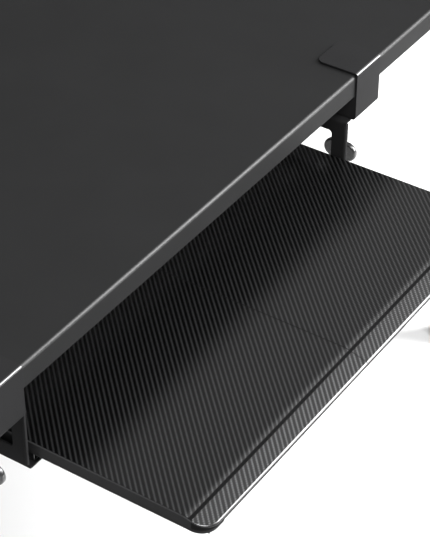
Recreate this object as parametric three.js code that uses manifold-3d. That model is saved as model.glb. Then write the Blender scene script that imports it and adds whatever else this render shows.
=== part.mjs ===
// A computer desk with a keyboard tray that hangs from two screw clamps on its front edge.
// Millimetres. +X is to the sitter's right, +Y is away from the sitter, +Z is up.
// The origin is on the floor, under the centre of the whole object with its tray drawn out.

import * as THREE from 'three';
import { mergeVertices } from 'three/addons/utils/BufferGeometryUtils.js';
import Module from 'manifold-3d';

const wasm = await Module();
wasm.setup();

// ---------- Driving dimensions ----------

const GAP = 0.2; // clearance between faces that touch
const HOLE_CLEARANCE = 0.3; // radial clearance of a bolt in its hole

const desk = { width: 1600, depth: 600, thickness: 32, height: 750, edgeRadius: 3, cornerRadius: 6 };
const leg = { size: 40, wall: 2, sideInset: 5, endInset: 12, basePlate: 3 };
const rail = { height: 25, width: 50, wall: 1.5, endPlate: 3, frontOffset: 90, rearOffset: 490 };
const foot = {
  radius: 18,
  height: 10,
  chamfer: 1,
  rim: 4, // height of its upright edge
  shoulderRadius: 11,
  studRadius: 4,
  studLength: 32,
};

const tray = {
  width: 670, // across both halves
  reach: 231, // from the desk's front face to the tray's lip when drawn out
  depth: 310,
  clearance: 91.5, // from the desk's underside to the tray's top
  board: 13.5, // thickness of the board
  runner: 5, // extra thickness of the strip along each side
  runnerWidth: 35,
  cornerRadius: 22,
  rearCornerRadius: 6,
  seam: 0.8,
  travel: 235,
};
const waterfall = { length: 37, bendRadius: 40, angle: THREE.MathUtils.degToRad(15), noseRadius: 4.5 };

const clamp = {
  inner: 350, // distance of its inner edge from the desk's middle
  width: 60,
  depth: 61.5, // behind the desk's front face
  sheet: 2.5,
  jawDrop: 34, // from the desk's underside to the jaw's top
  topBend: 3.5,
  jawBend: 5,
  rearCornerRadius: 11,
  pad: 0.8,
  padMargin: 3,
  cheekGap: 4, // from the stiffening cheek up to the desk's underside
  screwOffset: 34.6, // from the desk's front face to the screw's axis
};
const clampScrew = {
  radius: 4,
  tipChamfer: 1,
  nutRadius: 7.5,
  nutHeight: 5,
  padRadius: 13,
  padHeight: 5.5,
  padChamfer: 3,
  padCover: 2.6, // thickness of the pad above the screw's tip
};
const knob = {
  wingRadius: 14,
  wingSpacing: 22, // between the centres of its two round wings
  wingThickness: 8,
  level: 605, // height of the wings' centres
  hubRadius: 7,
  hubUnder: 594,
  hubTop: 621,
  floor: 3, // thickness left under the screw
};

const arm = {
  inner: 340, // inner face of its web from the desk's middle
  sheet: 3,
  front: 5, // behind the desk's front face
  rear: 315,
  lip: 6,
  topFlange: 68,
  bottomFlange: 49.5,
  rearHeight: 47,
  shoulder: 112,
  slopeEnd: 205,
};
const armWindow = { front: 27, rear: 134, bottom: 615.5, top: 660, radius: 5 };

const slide = {
  centre: 313,
  halfWidth: 17.5,
  height: 14.1,
  sheet: 1.2,
  outerStart: 8,
  outerLength: 300,
  memberLength: 290,
  closedStart: 13,
};
const cage = { length: 120, sheet: 0.8, ballsPerSide: 4 };
const joinPlate = { length: 220, width: 32, sheet: 2.5, cornerRadius: 5, offsets: [-150, 10] };

const ROUND = 16; // sides of a small cylinder
const SMOOTH = 20; // sides of a larger one
const BORE = 12; // sides of a bolt hole
const PILOT = 10; // sides of a small screw hole
const SHANK = 8; // sides of a thin shank
const HEX = 6; // sides of a nut
const OVERRUN = 1; // how far a cutting tool runs past the face that it opens

// ---------- Places worked out from the driving dimensions ----------

const frontFace = -(desk.depth - tray.reach) / 2;
const deskUnder = desk.height - desk.thickness;
const trayTop = deskUnder - tray.clearance;
const boardUnder = trayTop - tray.board;
const trayUnder = boardUnder - tray.runner;
const slideBase = trayUnder - GAP - slide.height;
const armBottom = slideBase - GAP - arm.sheet;
const jawTop = deskUnder - clamp.jawDrop;
const jawUnder = jawTop - clamp.sheet;
const armTop = jawUnder - GAP;
const screwX = clamp.inner + clamp.width / 2;
const legOuter = desk.width / 2 - leg.sideInset;
const legInner = legOuter - leg.size;
const railLevel = deskUnder - GAP - rail.height;
const boltLevel = deskUnder - GAP - rail.height / 2;

// A distance behind the desk's front face as a Y coordinate.
const behindFace = (distance) => frontFace + distance;

// ---------- Materials ----------

const finish = (color, roughness, metalness) =>
  new THREE.MeshStandardMaterial({ color, roughness, metalness });
const materials = {
  desktop: finish(0x2c2d2f, 0.45, 0),
  frame: finish(0x18191a, 0.5, 0.4),
  bracket: finish(0x1b1c1d, 0.35, 0.5),
  trayBoard: finish(0x1d1e20, 0.4, 0),
  knob: finish(0x0c0c0d, 0.15, 0),
  rubber: finish(0x111111, 0.9, 0),
  slideSteel: finish(0x1a1b1c, 0.3, 0.6),
  fastener: finish(0x8f9296, 0.35, 1),
  cage: finish(0xb8bbc0, 0.4, 0.9),
};

// ---------- Solids ----------

const solidOf = (geometry) => {
  geometry.deleteAttribute('normal');
  geometry.deleteAttribute('uv');
  const merged = mergeVertices(geometry, 1e-4);
  return new wasm.Manifold(
    new wasm.Mesh({
      numProp: 3,
      vertProperties: new Float32Array(merged.attributes.position.array),
      triVerts: new Uint32Array(merged.index.array),
    }),
  );
};

const join = (...solids) => solids.reduce((whole, solid) => whole.add(solid));
const cut = (whole, ...tools) => tools.reduce((rest, tool) => rest.subtract(tool), whole);

// A box between two corners, given as [from, to] along each axis in either order.
const block = ([x0, x1], [y0, y1], [z0, z1]) => {
  const box = new THREE.BoxGeometry(Math.abs(x1 - x0), Math.abs(y1 - y0), Math.abs(z1 - z0));
  return solidOf(box.translate((x0 + x1) / 2, (y0 + y1) / 2, (z0 + z1) / 2));
};

// An upright cylinder standing on z0.
const rod = (radius, x, y, z0, z1, sides = ROUND) => {
  const cylinder = new THREE.CylinderGeometry(radius, radius, z1 - z0, sides);
  return solidOf(cylinder.rotateX(Math.PI / 2).translate(x, y, (z0 + z1) / 2));
};

// A cylinder along X.
const rodAlongX = (radius, [x0, x1], y, z, sides = ROUND) => {
  const cylinder = new THREE.CylinderGeometry(radius, radius, Math.abs(x1 - x0), sides);
  return solidOf(cylinder.rotateZ(Math.PI / 2).translate((x0 + x1) / 2, y, z));
};

// A turned piece about a vertical axis. The profile is [radius, height] points from axis to axis.
const turned = (profile, x, y, sides = SMOOTH) => {
  const points = profile.map(([radius, height]) => new THREE.Vector2(radius, height));
  return solidOf(new THREE.LatheGeometry(points, sides).rotateX(Math.PI / 2).translate(x, y, 0));
};

// A plan outline raised from z0 to z1.
const raised = (shape, z0, z1) => {
  const prism = new THREE.ExtrudeGeometry(shape, { depth: z1 - z0, bevelEnabled: false, curveSegments: 4 });
  return solidOf(prism.translate(0, 0, z0));
};

// An outline in the YZ plane carried along X.
const carriedAlongX = (shape, [x0, x1]) => {
  const depth = Math.abs(x1 - x0);
  const prism = new THREE.ExtrudeGeometry(shape, { depth, bevelEnabled: false, curveSegments: 4 });
  // Shape x becomes Y, shape y becomes Z, and the extrusion runs along X.
  const turn = new THREE.Matrix4().makeBasis(
    new THREE.Vector3(0, 1, 0),
    new THREE.Vector3(0, 0, 1),
    new THREE.Vector3(1, 0, 0),
  );
  return solidOf(prism.applyMatrix4(turn).translate(Math.min(x0, x1), 0, 0));
};

// An outline in the XZ plane, centred on x, carried along Y.
const carriedAlongY = (outline, x, z, [y0, y1]) => {
  const shape = new THREE.Shape(outline.map(([across, up]) => new THREE.Vector2(across, up)));
  const prism = new THREE.ExtrudeGeometry(shape, { depth: y1 - y0, bevelEnabled: false });
  return solidOf(prism.rotateX(Math.PI / 2).translate(x, y1, z));
};

// A rectangle with its own radius at each corner, starting low-left and running anticlockwise.
const roundedRectangle = ([x0, x1], [y0, y1], [lowLeft, lowRight, highRight, highLeft]) => {
  const shape = new THREE.Shape();
  shape.moveTo(x0 + lowLeft, y0);
  shape.lineTo(x1 - lowRight, y0);
  shape.absarc(x1 - lowRight, y0 + lowRight, lowRight, -Math.PI / 2, 0);
  shape.lineTo(x1, y1 - highRight);
  shape.absarc(x1 - highRight, y1 - highRight, highRight, 0, Math.PI / 2);
  shape.lineTo(x0 + highLeft, y1);
  shape.absarc(x0 + highLeft, y1 - highLeft, highLeft, Math.PI / 2, Math.PI);
  shape.lineTo(x0, y0 + lowLeft);
  shape.absarc(x0 + lowLeft, y0 + lowLeft, lowLeft, Math.PI, Math.PI * 1.5);
  return shape;
};

const evenCorners = (radius) => [radius, radius, radius, radius];

// ---------- The object's tree ----------

const object = new THREE.Group();

const addPiece = (name, solid, material) => {
  const { vertProperties, triVerts } = solid.getMesh();
  const geometry = new THREE.BufferGeometry();
  geometry.setAttribute('position', new THREE.BufferAttribute(vertProperties, 3));
  geometry.setIndex(new THREE.BufferAttribute(triVerts, 1));
  geometry.computeVertexNormals();
  const mesh = new THREE.Mesh(geometry, material);
  mesh.name = name;
  object.add(mesh);
};

const sides = [
  { name: 'left', sign: -1 },
  { name: 'right', sign: 1 },
];
const ends = [
  { name: 'front', railStart: rail.frontOffset, legStart: leg.endInset },
  { name: 'rear', railStart: rail.rearOffset, legStart: desk.depth - leg.endInset - leg.size },
];

// Both ends of a stretch along X, counted outwards from the middle on one side.
const outward = (sign, from, to) => [sign * from, sign * to];

// ---------- Desk ----------

const deskScrew = { radius: 2.4, headRadius: 4.75, headHeight: 3.2, bite: 20, spacing: 500, accessRadius: 6 };
const railTopWall = deskUnder - GAP - rail.wall;
const railBolt = { radius: 4, headRadius: 7, headHeight: 4.4, length: 57 };

const deskScrewPlaces = sides.flatMap((side) =>
  ends.map((end) => ({
    name: `desktop_screw_${end.name}_${side.name}`,
    x: side.sign * deskScrew.spacing,
    y: behindFace(end.railStart + rail.width / 2),
  })),
);

const makeDesktop = () => {
  const inset = desk.edgeRadius;
  const halfWidth = desk.width / 2;
  const outline = roundedRectangle(
    [-halfWidth, halfWidth],
    [behindFace(0), behindFace(desk.depth)],
    evenCorners(desk.cornerRadius),
  );
  const slab = new THREE.ExtrudeGeometry(outline, {
    depth: desk.thickness - 2 * inset,
    bevelThickness: inset,
    bevelSize: inset,
    bevelOffset: -inset,
    bevelSegments: 2,
    curveSegments: 3,
  });
  const pilots = deskScrewPlaces.map(({ x, y }) =>
    rod(deskScrew.radius + HOLE_CLEARANCE, x, y, deskUnder - OVERRUN, deskUnder + deskScrew.bite + 1, PILOT),
  );
  addPiece('desktop', cut(solidOf(slab.translate(0, 0, deskUnder + inset)), ...pilots), materials.desktop);
};

// Two square-tube legs and the rail welded between them, one frame on each side.
const makeLegFrame = ({ name, sign }) => {
  const top = deskUnder - GAP;
  const across = outward(sign, legInner, legOuter);
  const acrossHollow = outward(sign, legInner + leg.wall, legOuter - leg.wall);
  const railAlong = [
    behindFace(ends[0].legStart + leg.size - leg.wall / 2),
    behindFace(ends[1].legStart + leg.wall / 2),
  ];
  const railHollow = [behindFace(ends[0].legStart + leg.size), behindFace(ends[1].legStart)];
  let frame = block(across, railAlong, [railLevel, top]);
  frame = cut(frame, block(acrossHollow, railHollow, [railLevel + leg.wall, top - leg.wall]));
  for (const end of ends) {
    const along = [behindFace(end.legStart), behindFace(end.legStart + leg.size)];
    const hollow = [along[0] + leg.wall, along[1] - leg.wall];
    const legX = (sign * (legInner + legOuter)) / 2;
    const legTube = cut(
      block(across, along, [foot.height, top]),
      block(acrossHollow, hollow, [foot.height + leg.basePlate, top + OVERRUN]),
      rod(foot.studRadius + HOLE_CLEARANCE, legX, (along[0] + along[1]) / 2, 0, 2 * foot.height, BORE),
    );
    frame = join(frame, legTube);
  }
  for (const end of ends) {
    const boltY = behindFace(end.railStart + rail.width / 2);
    const through = outward(sign, legInner - OVERRUN, legOuter + OVERRUN);
    frame = cut(frame, rodAlongX(railBolt.radius + HOLE_CLEARANCE, through, boltY, boltLevel, BORE));
  }
  addPiece(`${name}_leg_frame`, frame, materials.frame);
};

// A rectangular tube between the leg frames, with a closed plate at each end.
const makeLongRail = (end) => {
  const half = legInner - GAP;
  const along = [behindFace(end.railStart), behindFace(end.railStart + rail.width)];
  const middleY = (along[0] + along[1]) / 2;
  const level = [railLevel, railLevel + rail.height];
  const hollowHalf = half - rail.endPlate;
  let tube = cut(
    block([-half, half], along, level),
    block(
      [-hollowHalf, hollowHalf],
      [along[0] + rail.wall, along[1] - rail.wall],
      [level[0] + rail.wall, level[1] - rail.wall],
    ),
  );
  for (const { sign } of sides) {
    const screwAt = sign * deskScrew.spacing;
    const throughPlate = outward(sign, hollowHalf - OVERRUN, half + OVERRUN);
    const wallCut = rail.wall + OVERRUN;
    tube = cut(
      tube,
      rodAlongX(railBolt.radius + HOLE_CLEARANCE, throughPlate, middleY, boltLevel, BORE),
      rod(deskScrew.radius + HOLE_CLEARANCE, screwAt, middleY, level[1] - wallCut, level[1] + OVERRUN, PILOT),
      rod(deskScrew.accessRadius, screwAt, middleY, level[0] - OVERRUN, level[0] + wallCut, BORE),
    );
  }
  addPiece(`${end.name}_rail`, tube, materials.frame);
};

const makeRailBolt = ({ name, sign }, end) => {
  const y = behindFace(end.railStart + rail.width / 2);
  const headStart = legOuter + GAP;
  const shankEnd = headStart + 1;
  const bolt = join(
    rodAlongX(railBolt.headRadius, outward(sign, headStart, headStart + railBolt.headHeight), y, boltLevel),
    rodAlongX(railBolt.radius, outward(sign, shankEnd - railBolt.length, shankEnd), y, boltLevel, PILOT),
  );
  addPiece(`rail_bolt_${end.name}_${name}`, bolt, materials.fastener);
};

const makeDeskScrew = ({ name, x, y }) => {
  const headTop = railTopWall - GAP;
  const screw = join(
    rod(deskScrew.headRadius, x, y, headTop - deskScrew.headHeight, headTop, BORE),
    rod(deskScrew.radius, x, y, headTop - 1, deskUnder + deskScrew.bite, SHANK),
  );
  addPiece(name, screw, materials.fastener);
};

const makeFoot = ({ name, sign }, end) => {
  const x = (sign * (legInner + legOuter)) / 2;
  const y = behindFace(end.legStart + leg.size / 2);
  const padTop = foot.height - GAP;
  const profile = [
    [0, 0],
    [foot.radius - foot.chamfer, 0],
    [foot.radius, foot.chamfer],
    [foot.radius, foot.rim],
    [foot.shoulderRadius, padTop],
    [foot.studRadius, padTop],
    [foot.studRadius, padTop + foot.studLength],
    [0, padTop + foot.studLength],
  ];
  addPiece(`levelling_foot_${end.name}_${name}`, turned(profile, x, y, ROUND), materials.rubber);
};

makeDesktop();
sides.forEach(makeLegFrame);
ends.forEach(makeLongRail);
for (const side of sides) {
  for (const end of ends) {
    makeRailBolt(side, end);
    makeFoot(side, end);
  }
}
deskScrewPlaces.forEach(makeDeskScrew);

// ---------- Clamps ----------

const armBolt = {
  radius: 3,
  headRadius: 5.7,
  headHeight: 4,
  nutHeight: 5,
  tip: 1.5, // length of the shank above its nut
  offset: 54,
  spacing: 17,
};
const armBoltPlaces = [-armBolt.spacing, armBolt.spacing].map((across) => screwX + across);

// The C of folded sheet seen from the side: top plate, front plate and lower jaw.
const clampProfile = () => {
  const outer = behindFace(-GAP - clamp.sheet);
  const inner = behindFace(-GAP);
  const rear = behindFace(clamp.depth);
  const plateUnder = desk.height + clamp.pad + 2 * GAP;
  const plateTop = plateUnder + clamp.sheet;
  const { topBend, jawBend, sheet } = clamp;
  const shape = new THREE.Shape();
  shape.moveTo(rear, plateTop);
  shape.lineTo(outer + topBend, plateTop);
  shape.absarc(outer + topBend, plateTop - topBend, topBend, Math.PI / 2, Math.PI);
  shape.lineTo(outer, jawUnder + jawBend);
  shape.absarc(outer + jawBend, jawUnder + jawBend, jawBend, Math.PI, Math.PI * 1.5);
  shape.lineTo(rear, jawUnder);
  shape.lineTo(rear, jawTop);
  shape.lineTo(outer + jawBend, jawTop);
  shape.absarc(outer + jawBend, jawTop + jawBend - sheet, jawBend - sheet, -Math.PI / 2, -Math.PI, true);
  shape.lineTo(inner, plateTop - topBend);
  shape.absarc(outer + topBend, plateTop - topBend, topBend - sheet, Math.PI, Math.PI / 2, true);
  shape.lineTo(rear, plateUnder);
  return shape;
};

const makeClamp = ({ name, sign }) => {
  const across = outward(sign, clamp.inner, clamp.inner + clamp.width);
  const [low, high] = [Math.min(...across), Math.max(...across)];
  const y = behindFace(clamp.screwOffset);
  const plan = roundedRectangle(
    [low, high],
    [behindFace(-2 * clamp.topBend), behindFace(clamp.depth)],
    [0.5, 0.5, clamp.rearCornerRadius, clamp.rearCornerRadius],
  );
  const planPrism = raised(plan, jawUnder - OVERRUN, desk.height + clamp.topBend + OVERRUN);
  const folded = carriedAlongX(clampProfile(), across).intersect(planPrism);
  // The cheek stiffens the jaw on the side next to the tray.
  const cheek = block(
    outward(sign, clamp.inner, clamp.inner + clamp.sheet),
    [behindFace(-GAP - clamp.sheet / 2), behindFace(clamp.depth - clamp.rearCornerRadius)],
    [jawTop - clamp.sheet / 2, deskUnder - clamp.cheekGap],
  );
  const nutTop = jawTop + clampScrew.nutHeight;
  const nut = rod(clampScrew.nutRadius, sign * screwX, y, jawTop - 1, nutTop, HEX);
  const bore = rod(
    clampScrew.radius + HOLE_CLEARANCE,
    sign * screwX,
    y,
    jawUnder - OVERRUN,
    nutTop + OVERRUN,
    BORE,
  );
  const boltY = behindFace(armBolt.offset);
  const boltHoles = armBoltPlaces.map((x) =>
    rod(armBolt.radius + HOLE_CLEARANCE, sign * x, boltY, jawUnder - OVERRUN, jawTop + OVERRUN, PILOT),
  );
  addPiece(`${name}_clamp`, cut(join(folded, cheek, nut), bore, ...boltHoles), materials.bracket);

  const { padMargin } = clamp;
  const padPlan = roundedRectangle(
    [low + padMargin, high - padMargin],
    [behindFace(padMargin), behindFace(clamp.depth - padMargin)],
    evenCorners(2 * padMargin),
  );
  const padLevel = desk.height + GAP;
  addPiece(`${name}_clamp_top_pad`, raised(padPlan, padLevel, padLevel + clamp.pad), materials.rubber);
};

// The screw with its swivelling pressure pad above and its two-winged knob below.
const makeClampScrew = ({ name, sign }) => {
  const x = sign * screwX;
  const y = behindFace(clamp.screwOffset);
  const padTop = deskUnder - GAP;
  const padUnder = padTop - clampScrew.padHeight;
  const socketTop = padTop - clampScrew.padCover;
  const socketRadius = clampScrew.radius + HOLE_CLEARANCE;
  const pad = turned(
    [
      [0, socketTop],
      [socketRadius, socketTop],
      [socketRadius, padUnder],
      [clampScrew.padRadius - clampScrew.padChamfer, padUnder],
      [clampScrew.padRadius, padUnder + clampScrew.padChamfer],
      [clampScrew.padRadius, padTop],
      [0, padTop],
    ],
    x,
    y,
  );
  addPiece(`${name}_pressure_pad`, pad, materials.rubber);

  const boreUnder = knob.hubUnder + knob.floor;
  const screwUnder = boreUnder + HOLE_CLEARANCE;
  const screwTop = socketTop - HOLE_CLEARANCE;
  const screw = turned(
    [
      [0, screwUnder],
      [clampScrew.radius, screwUnder],
      [clampScrew.radius, screwTop - clampScrew.tipChamfer],
      [clampScrew.radius - clampScrew.tipChamfer, screwTop],
      [0, screwTop],
    ],
    x,
    y,
    ROUND,
  );
  addPiece(`${name}_clamp_screw`, screw, materials.fastener);

  const halfWing = knob.wingThickness / 2;
  const wings = [-1, 1].map((end) =>
    rodAlongX(
      knob.wingRadius,
      [x - halfWing, x + halfWing],
      y + (end * knob.wingSpacing) / 2,
      knob.level,
      SMOOTH,
    ),
  );
  const hub = rod(knob.hubRadius, x, y, knob.hubUnder, knob.hubTop, SMOOTH);
  const bore = rod(clampScrew.radius + HOLE_CLEARANCE, x, y, boreUnder, knob.hubTop + OVERRUN, BORE);
  addPiece(`${name}_wing_knob`, cut(join(...wings, hub), bore), materials.knob);
};

sides.forEach(makeClamp);
sides.forEach(makeClampScrew);

// ---------- Arms ----------

const outerSlideScrew = { radius: 2, headRadius: 3.5, headHeight: 1, nutRadius: 4, nutHeight: 3.2 };
const outerSlideScrewOffsets = { front: 40, rear: 280 };

const makeArm = ({ name, sign }) => {
  const web = new THREE.Shape();
  const rearTop = armBottom + arm.rearHeight;
  web.moveTo(behindFace(arm.front), armBottom);
  web.lineTo(behindFace(arm.rear), armBottom);
  web.lineTo(behindFace(arm.rear), rearTop);
  web.lineTo(behindFace(arm.slopeEnd), rearTop);
  web.lineTo(behindFace(arm.shoulder), armTop);
  web.lineTo(behindFace(arm.front), armTop);
  web.holes.push(
    roundedRectangle(
      [behindFace(armWindow.front), behindFace(armWindow.rear)],
      [armWindow.bottom, armWindow.top],
      evenCorners(armWindow.radius),
    ),
  );
  const webAcross = outward(sign, arm.inner, arm.inner + arm.sheet);
  const flangeDepth = [behindFace(arm.front), behindFace(clamp.depth)];
  // The lip down the arm's front edge runs out to nothing at its lower end.
  const lip = carriedAlongY(
    [
      [0, armBottom],
      [sign * arm.lip, armBottom + arm.lip],
      [sign * arm.lip, armTop],
      [0, armTop],
    ],
    sign * arm.inner,
    0,
    [behindFace(arm.front), behindFace(arm.front + arm.sheet)],
  );
  const topFlange = block(
    outward(sign, arm.inner, arm.inner + arm.topFlange),
    flangeDepth,
    [armTop - arm.sheet, armTop],
  );
  const bottomFlange = block(
    outward(sign, arm.inner + arm.sheet - arm.bottomFlange, arm.inner + arm.sheet),
    [behindFace(arm.front), behindFace(arm.rear)],
    [armBottom, armBottom + arm.sheet],
  );
  const screwHole = rod(
    clampScrew.radius + 2 * HOLE_CLEARANCE,
    sign * screwX,
    behindFace(clamp.screwOffset),
    armTop - arm.sheet - OVERRUN,
    armTop + OVERRUN,
    BORE,
  );
  const boltHoles = armBoltPlaces.map((x) =>
    rod(
      armBolt.radius + HOLE_CLEARANCE,
      sign * x,
      behindFace(armBolt.offset),
      armTop - arm.sheet - OVERRUN,
      armTop + OVERRUN,
      PILOT,
    ),
  );
  const slideHoles = Object.values(outerSlideScrewOffsets).map((offset) =>
    rod(
      outerSlideScrew.radius + HOLE_CLEARANCE,
      sign * slide.centre,
      behindFace(offset),
      armBottom - OVERRUN,
      armBottom + arm.sheet + OVERRUN,
      PILOT,
    ),
  );
  const folded = join(carriedAlongX(web, webAcross), lip, topFlange, bottomFlange);
  addPiece(`${name}_arm`, cut(folded, screwHole, ...boltHoles, ...slideHoles), materials.bracket);
};

// A bolt with its nut tightened on it, holding the arm under the clamp's jaw.
const makeArmBolts = ({ name, sign }) => {
  armBoltPlaces.forEach((place, index) => {
    const x = sign * place;
    const y = behindFace(armBolt.offset);
    const headTop = armTop - arm.sheet - GAP;
    const nutUnder = jawTop + GAP;
    const bolt = join(
      rod(armBolt.headRadius, x, y, headTop - armBolt.headHeight, headTop, HEX),
      rod(armBolt.radius, x, y, headTop - 1, nutUnder + armBolt.nutHeight + armBolt.tip, SHANK),
      rod(armBolt.headRadius, x, y, nutUnder, nutUnder + armBolt.nutHeight, HEX),
    );
    addPiece(`${name}_arm_bolt_${index === 0 ? 'inner' : 'outer'}`, bolt, materials.fastener);
  });
};

sides.forEach(makeArm);
sides.forEach(makeArmBolts);

// ---------- Ball slides, lying flat between each arm and the tray ----------

// Each member is a channel. Heights count from the slide's base.
const outerMember = { lip: 1.2, lipUnder: 9.6, height: 10.8 };
const middleMember = { halfWidth: 11.6, webUnder: 2.7, height: 9.8 };
const innerMember = { halfWidth: 9, wallOuter: 6, webUnder: slide.height - slide.sheet, wallUnder: 5.4 };
const outerCage = { halfWidth: 14.35, under: 1.55, height: 9, ballRadius: 2, ballX: 13.95 };
const innerCage = { halfWidth: 8.6, under: 4.25, height: 9.6, ballRadius: 1.85, ballX: 8.2 };
const ballLevel = 6.2;

const memberOpen = slide.closedStart - tray.travel;
const middleOpen = slide.closedStart - tray.travel / 2;
const outerCageStart = 40;
const innerCageStart = -80;

const mirrorOutline = (half) => [...half, ...half.map(([x, z]) => [-x, z]).reverse()];

// A channel open upwards, from its outer bottom corner round to its inner bottom corner.
const channelUp = (halfWidth, under, height, sheet) =>
  mirrorOutline([
    [halfWidth, under],
    [halfWidth, height],
    [halfWidth - sheet, height],
    [halfWidth - sheet, under + sheet],
  ]);

const outerOutline = () => {
  const { halfWidth, sheet } = slide;
  const inside = halfWidth - sheet;
  return mirrorOutline([
    [halfWidth, 0],
    [halfWidth, outerMember.height],
    [inside - outerMember.lip, outerMember.height],
    [inside - outerMember.lip, outerMember.lipUnder],
    [inside, outerMember.lipUnder],
    [inside, sheet],
  ]);
};

const innerOutline = () => {
  const { halfWidth, wallOuter, webUnder, wallUnder } = innerMember;
  return mirrorOutline([
    [halfWidth, slide.height],
    [halfWidth, webUnder],
    [wallOuter, webUnder],
    [wallOuter, wallUnder],
    [wallOuter - slide.sheet, wallUnder],
    [wallOuter - slide.sheet, webUnder],
  ]);
};

const makeCage = (name, shape, centre, start) => {
  const span = [behindFace(start), behindFace(start + cage.length)];
  const strip = carriedAlongY(
    channelUp(shape.halfWidth, shape.under, shape.height, cage.sheet),
    centre,
    slideBase,
    span,
  );
  let whole = strip;
  const pitch = cage.length / cage.ballsPerSide;
  for (let index = 0; index < cage.ballsPerSide; index += 1) {
    for (const across of [-shape.ballX, shape.ballX]) {
      const ball = new THREE.IcosahedronGeometry(shape.ballRadius, 0);
      ball.translate(centre + across, span[0] + pitch * (index + 0.5), slideBase + ballLevel);
      whole = join(whole, solidOf(ball));
    }
  }
  addPiece(name, whole, materials.cage);
};

const innerSlideScrew = { radius: 1.9, headRadius: 3.5, headHeight: 2, bite: 12 };
const innerSlideScrewOffsets = { front: -190, rear: 40 };

const makeSlide = ({ name, sign }) => {
  const centre = sign * slide.centre;
  const outerSpan = [behindFace(slide.outerStart), behindFace(slide.outerStart + slide.outerLength)];
  const middleSpan = [behindFace(middleOpen), behindFace(middleOpen + slide.memberLength)];
  const innerSpan = [behindFace(memberOpen), behindFace(memberOpen + slide.memberLength)];

  const headHoles = Object.values(outerSlideScrewOffsets).map((offset) =>
    rod(
      outerSlideScrew.headRadius + GAP,
      centre,
      behindFace(offset),
      slideBase - OVERRUN,
      slideBase + slide.sheet + OVERRUN,
      BORE,
    ),
  );
  const outer = cut(carriedAlongY(outerOutline(), centre, slideBase, outerSpan), ...headHoles);
  addPiece(`${name}_slide_outer_member`, outer, materials.slideSteel);

  const middle = carriedAlongY(
    channelUp(middleMember.halfWidth, middleMember.webUnder, middleMember.height, slide.sheet),
    centre,
    slideBase,
    middleSpan,
  );
  addPiece(`${name}_slide_middle_member`, middle, materials.slideSteel);

  const screwHoles = Object.values(innerSlideScrewOffsets).map((offset) =>
    rod(
      innerSlideScrew.radius + HOLE_CLEARANCE,
      centre,
      behindFace(offset),
      slideBase + innerMember.webUnder - OVERRUN,
      slideBase + slide.height + OVERRUN,
      PILOT,
    ),
  );
  const inner = cut(carriedAlongY(innerOutline(), centre, slideBase, innerSpan), ...screwHoles);
  addPiece(`${name}_slide_inner_member`, inner, materials.slideSteel);

  makeCage(`${name}_outer_ball_cage`, outerCage, centre, outerCageStart);
  makeCage(`${name}_inner_ball_cage`, innerCage, centre, innerCageStart);
};

const makeOuterSlideScrews = ({ name, sign }) => {
  for (const [end, offset] of Object.entries(outerSlideScrewOffsets)) {
    const x = sign * slide.centre;
    const y = behindFace(offset);
    const nutTop = armBottom - GAP;
    const headTop = slideBase + slide.sheet - 0.1;
    const screw = join(
      rod(outerSlideScrew.headRadius, x, y, headTop - outerSlideScrew.headHeight, headTop, BORE),
      rod(outerSlideScrew.radius, x, y, nutTop - outerSlideScrew.nutHeight - 1, headTop - 0.5, SHANK),
      rod(outerSlideScrew.nutRadius, x, y, nutTop - outerSlideScrew.nutHeight, nutTop, HEX),
    );
    addPiece(`${name}_outer_slide_screw_${end}`, screw, materials.fastener);
  }
};

const makeInnerSlideScrews = ({ name, sign }) => {
  for (const [end, offset] of Object.entries(innerSlideScrewOffsets)) {
    const x = sign * slide.centre;
    const y = behindFace(offset);
    const headTop = slideBase + innerMember.webUnder - GAP;
    const screw = join(
      rod(innerSlideScrew.headRadius, x, y, headTop - innerSlideScrew.headHeight, headTop, BORE),
      rod(innerSlideScrew.radius, x, y, headTop - 1, trayUnder + innerSlideScrew.bite, SHANK),
    );
    addPiece(`${name}_inner_slide_screw_${end}`, screw, materials.fastener);
  }
};

sides.forEach(makeSlide);
sides.forEach(makeOuterSlideScrews);
sides.forEach(makeInnerSlideScrews);

// ---------- Tray ----------

const joinScrew = { radius: 2, headRadius: 4, headHeight: 2.2, bite: 9, spacing: 70 };

// The board seen from the side: flat, then bending down to a thin rounded nose at the front.
const boardProfile = () => {
  const lip = behindFace(-tray.reach);
  const rear = lip + tray.depth;
  const { length, bendRadius, angle, noseRadius } = waterfall;
  const bendStart = lip + length;
  const bendEnd = bendStart - bendRadius * Math.sin(angle);
  const bendDrop = bendRadius * (1 - Math.cos(angle));
  const noseStart = lip + noseRadius * (1 - Math.sin(angle));
  const noseDrop = bendDrop + (bendEnd - noseStart) * Math.tan(angle);
  const noseTip = trayTop - noseDrop - noseRadius * Math.cos(angle);
  const underRadius = noseTip - boardUnder;
  const shape = new THREE.Shape();
  shape.moveTo(rear, trayTop);
  shape.lineTo(bendStart, trayTop);
  shape.absarc(bendStart, trayTop - bendRadius, bendRadius, Math.PI / 2, Math.PI / 2 + angle);
  shape.absarc(lip + noseRadius, noseTip, noseRadius, Math.PI / 2 + angle, Math.PI);
  shape.absarc(lip + underRadius, noseTip, underRadius, Math.PI, Math.PI * 1.5);
  shape.lineTo(rear, boardUnder);
  return shape;
};

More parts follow.
